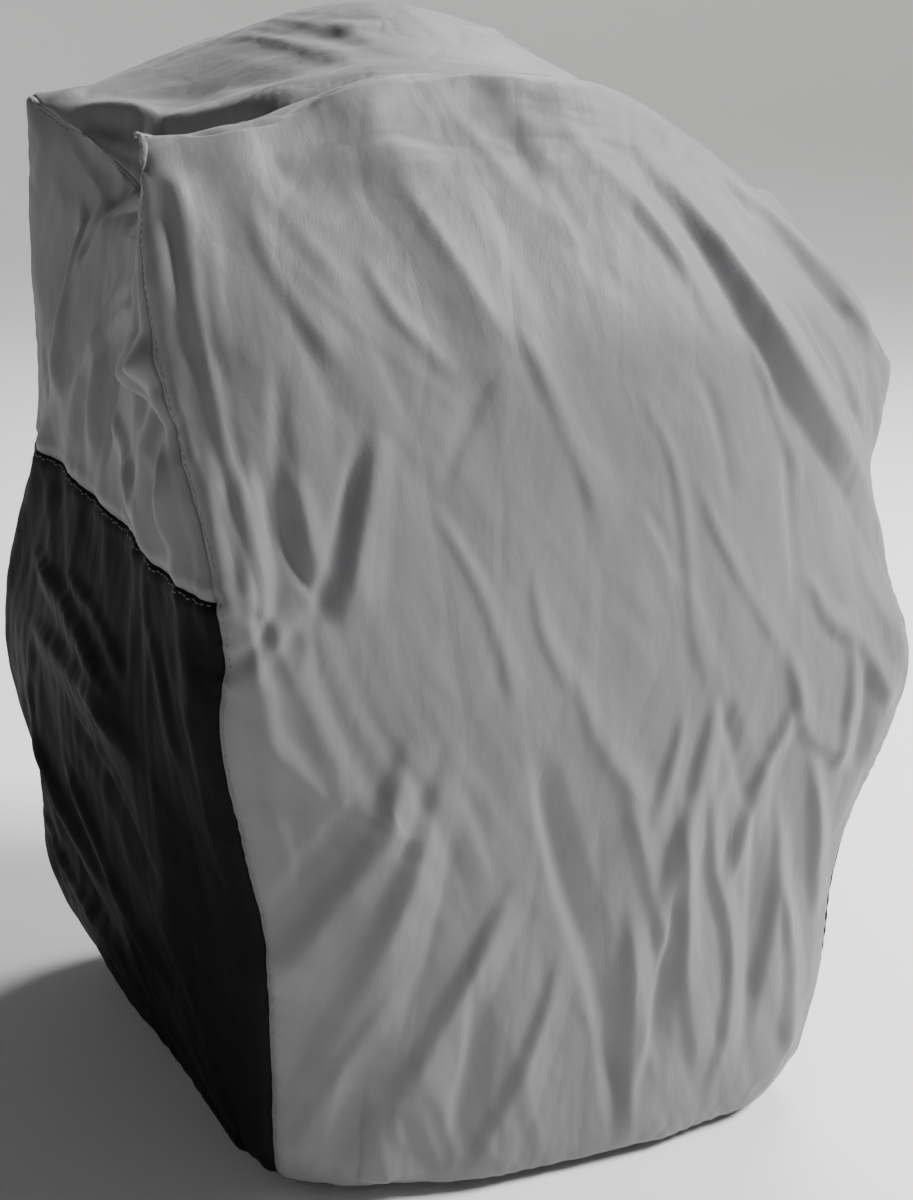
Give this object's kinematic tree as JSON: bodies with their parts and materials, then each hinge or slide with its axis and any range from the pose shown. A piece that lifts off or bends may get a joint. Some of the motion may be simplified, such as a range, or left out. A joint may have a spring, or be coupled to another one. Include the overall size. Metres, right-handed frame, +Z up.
{
  "type": "motorcycle tail bag with rain cover",
  "caption": "Upright motorcycle tail bag standing in its elasticated fabric rain cover, with hinged lid, zips, pockets, carry handle and lashing rings.",
  "frame": {"origin": "on the ground under the middle of the covered bag", "axes": "+Z up, -Y towards the pocket side that faces away from the backrest, +Y towards the backrest, +X to the right seen from the pocket side"},
  "size_m": [0.4, 0.344, 0.54],
  "materials": {
    "cover_grey": "satin coated polyester",
    "cover_black": "satin coated polyester",
    "hem_tape": "folded binding",
    "elastic": "covered elastic cord",
    "bag_fabric": "coarse ballistic weave",
    "lining": "plain woven lining",
    "mesh": "knitted mesh",
    "board": "stiffening sheet",
    "webbing": "ribbed polyester webbing",
    "piping": "bound piping",
    "zip_tape": "woven tape",
    "zip_teeth": "coil teeth",
    "slider_metal": "black nickel",
    "ring_steel": "nickel plate",
    "buckle_plastic": "acetal",
    "grip_rubber": "dimpled anti-slip",
    "handle_rubber": "soft moulded grip"
  },
  "bodies": {
    "bag": {"base_panel": "bag_fabric", "base_board": "board", "base_grip_pads": "grip_rubber", "back_board": "board", "front_wall": "bag_fabric", "back_wall": "bag_fabric", "left_wall": "bag_fabric", "right_wall": "bag_fabric", "corner_piping": "piping", "zip_lower_tape": "zip_tape", "zip_lower_teeth": "zip_teeth", "lid_hinge_binding": "webbing", "front_pocket_gusset": "bag_fabric", "front_pocket_face": "bag_fabric", "front_pocket_zip": "zip_tape", "left_pocket_gusset": "mesh", "right_pocket_gusset": "mesh", "left_pocket_face": "bag_fabric", "right_pocket_face": "bag_fabric", "sleeve_panel": "bag_fabric", "sleeve_gusset": "bag_fabric", "d_ring_loops": "webbing", "left_strap_rear": "webbing", "right_strap_rear": "webbing", "left_strap_front": "webbing", "right_strap_front": "webbing", "left_buckle_socket": "buckle_plastic", "right_buckle_socket": "buckle_plastic"},
    "lid": {"lid_panel": "bag_fabric", "lid_board": "lining", "lid_mesh_pocket": "mesh", "zip_upper_teeth": "zip_teeth", "zip_upper_tape": "zip_tape", "handle_anchors": "buckle_plastic"},
    "handle": {"handle_band": "webbing", "handle_grip": "handle_rubber"},
    "left_slider": {"zip_slider_left": "slider_metal"},
    "left_pull": {"zip_pull_left": "slider_metal"},
    "right_slider": {"zip_slider_right": "slider_metal"},
    "right_pull": {"zip_pull_right": "slider_metal"},
    "pocket_slider": {"pocket_zip_slider": "slider_metal"},
    "pocket_pull": {"pocket_zip_pull": "slider_metal"},
    "left_plug": {"left_buckle_plug": "buckle_plastic"},
    "right_plug": {"right_buckle_plug": "buckle_plastic"},
    "front_left_ring": {"d_ring_front_left": "ring_steel"},
    "front_right_ring": {"d_ring_front_right": "ring_steel"},
    "rear_left_ring": {"d_ring_rear_left": "ring_steel"},
    "rear_right_ring": {"d_ring_rear_right": "ring_steel"},
    "rain_cover": {"cover_top_panel": "cover_grey", "cover_front_panel": "cover_grey", "cover_rear_panel": "cover_grey", "cover_left_upper_panel": "cover_grey", "cover_right_upper_panel": "cover_grey", "cover_left_lower_panel": "cover_black", "cover_right_lower_panel": "cover_black", "cover_hem_casing": "hem_tape", "cover_hem_elastic": "elastic"}
  },
  "joints": [
    {"name": "cover_lift", "type": "slide", "parent": "bag", "child": "rain_cover", "axis": [0, 0, 1], "range_m": [0, 0.6], "deforming": ["cover_top_panel", "cover_front_panel", "cover_rear_panel", "cover_left_upper_panel", "cover_right_upper_panel", "cover_left_lower_panel", "cover_right_lower_panel", "cover_hem_casing", "cover_hem_elastic"]},
    {"name": "lid_hinge", "type": "hinge", "parent": "bag", "child": "lid", "pos_m": [0, 0.119, 0.41965], "axis": [-1, 0, 0], "range_deg": [0, 105]},
    {"name": "handle_fold", "type": "hinge", "parent": "lid", "child": "handle", "pos_m": [0, 0.055, 0.459], "axis": [1, 0, 0], "range_deg": [-70, 70]},
    {"name": "left_zip_slide", "type": "slide", "parent": "bag", "child": "left_slider", "axis": [-1, 0, 0], "range_m": [0, 0.113]},
    {"name": "left_pull_swing", "type": "hinge", "parent": "left_slider", "child": "left_pull", "pos_m": [-0.0065, -0.0954, 0.42065], "axis": [-1, 0, 0], "range_deg": [0, 150]},
    {"name": "right_zip_slide", "type": "slide", "parent": "bag", "child": "right_slider", "axis": [1, 0, 0], "range_m": [0, 0.113]},
    {"name": "right_pull_swing", "type": "hinge", "parent": "right_slider", "child": "right_pull", "pos_m": [0.0065, -0.0954, 0.42065], "axis": [-1, 0, 0], "range_deg": [0, 150]},
    {"name": "pocket_zip_slide", "type": "slide", "parent": "bag", "child": "pocket_slider", "axis": [1, 0, 0], "range_m": [0, 0.14]},
    {"name": "pocket_pull_swing", "type": "hinge", "parent": "pocket_slider", "child": "pocket_pull", "pos_m": [-0.07, -0.1567, 0.219], "axis": [-1, 0, 0], "range_deg": [0, 150]},
    {"name": "left_buckle_release", "type": "slide", "parent": "bag", "child": "left_plug", "axis": [0, -1, 0], "range_m": [0, 0.028]},
    {"name": "right_buckle_release", "type": "slide", "parent": "bag", "child": "right_plug", "axis": [0, -1, 0], "range_m": [0, 0.028]},
    {"name": "front_left_ring_swing", "type": "hinge", "parent": "bag", "child": "front_left_ring", "pos_m": [-0.117, -0.0972, 0.044], "axis": [-1, 0, 0], "range_deg": [0, 150]},
    {"name": "front_right_ring_swing", "type": "hinge", "parent": "bag", "child": "front_right_ring", "pos_m": [0.117, -0.0972, 0.044], "axis": [-1, 0, 0], "range_deg": [0, 150]},
    {"name": "rear_left_ring_swing", "type": "hinge", "parent": "bag", "child": "rear_left_ring", "pos_m": [-0.117, 0.1272, 0.044], "axis": [1, 0, 0], "range_deg": [0, 150]},
    {"name": "rear_right_ring_swing", "type": "hinge", "parent": "bag", "child": "rear_right_ring", "pos_m": [0.117, 0.1272, 0.044], "axis": [1, 0, 0], "range_deg": [0, 150]}
  ]
}
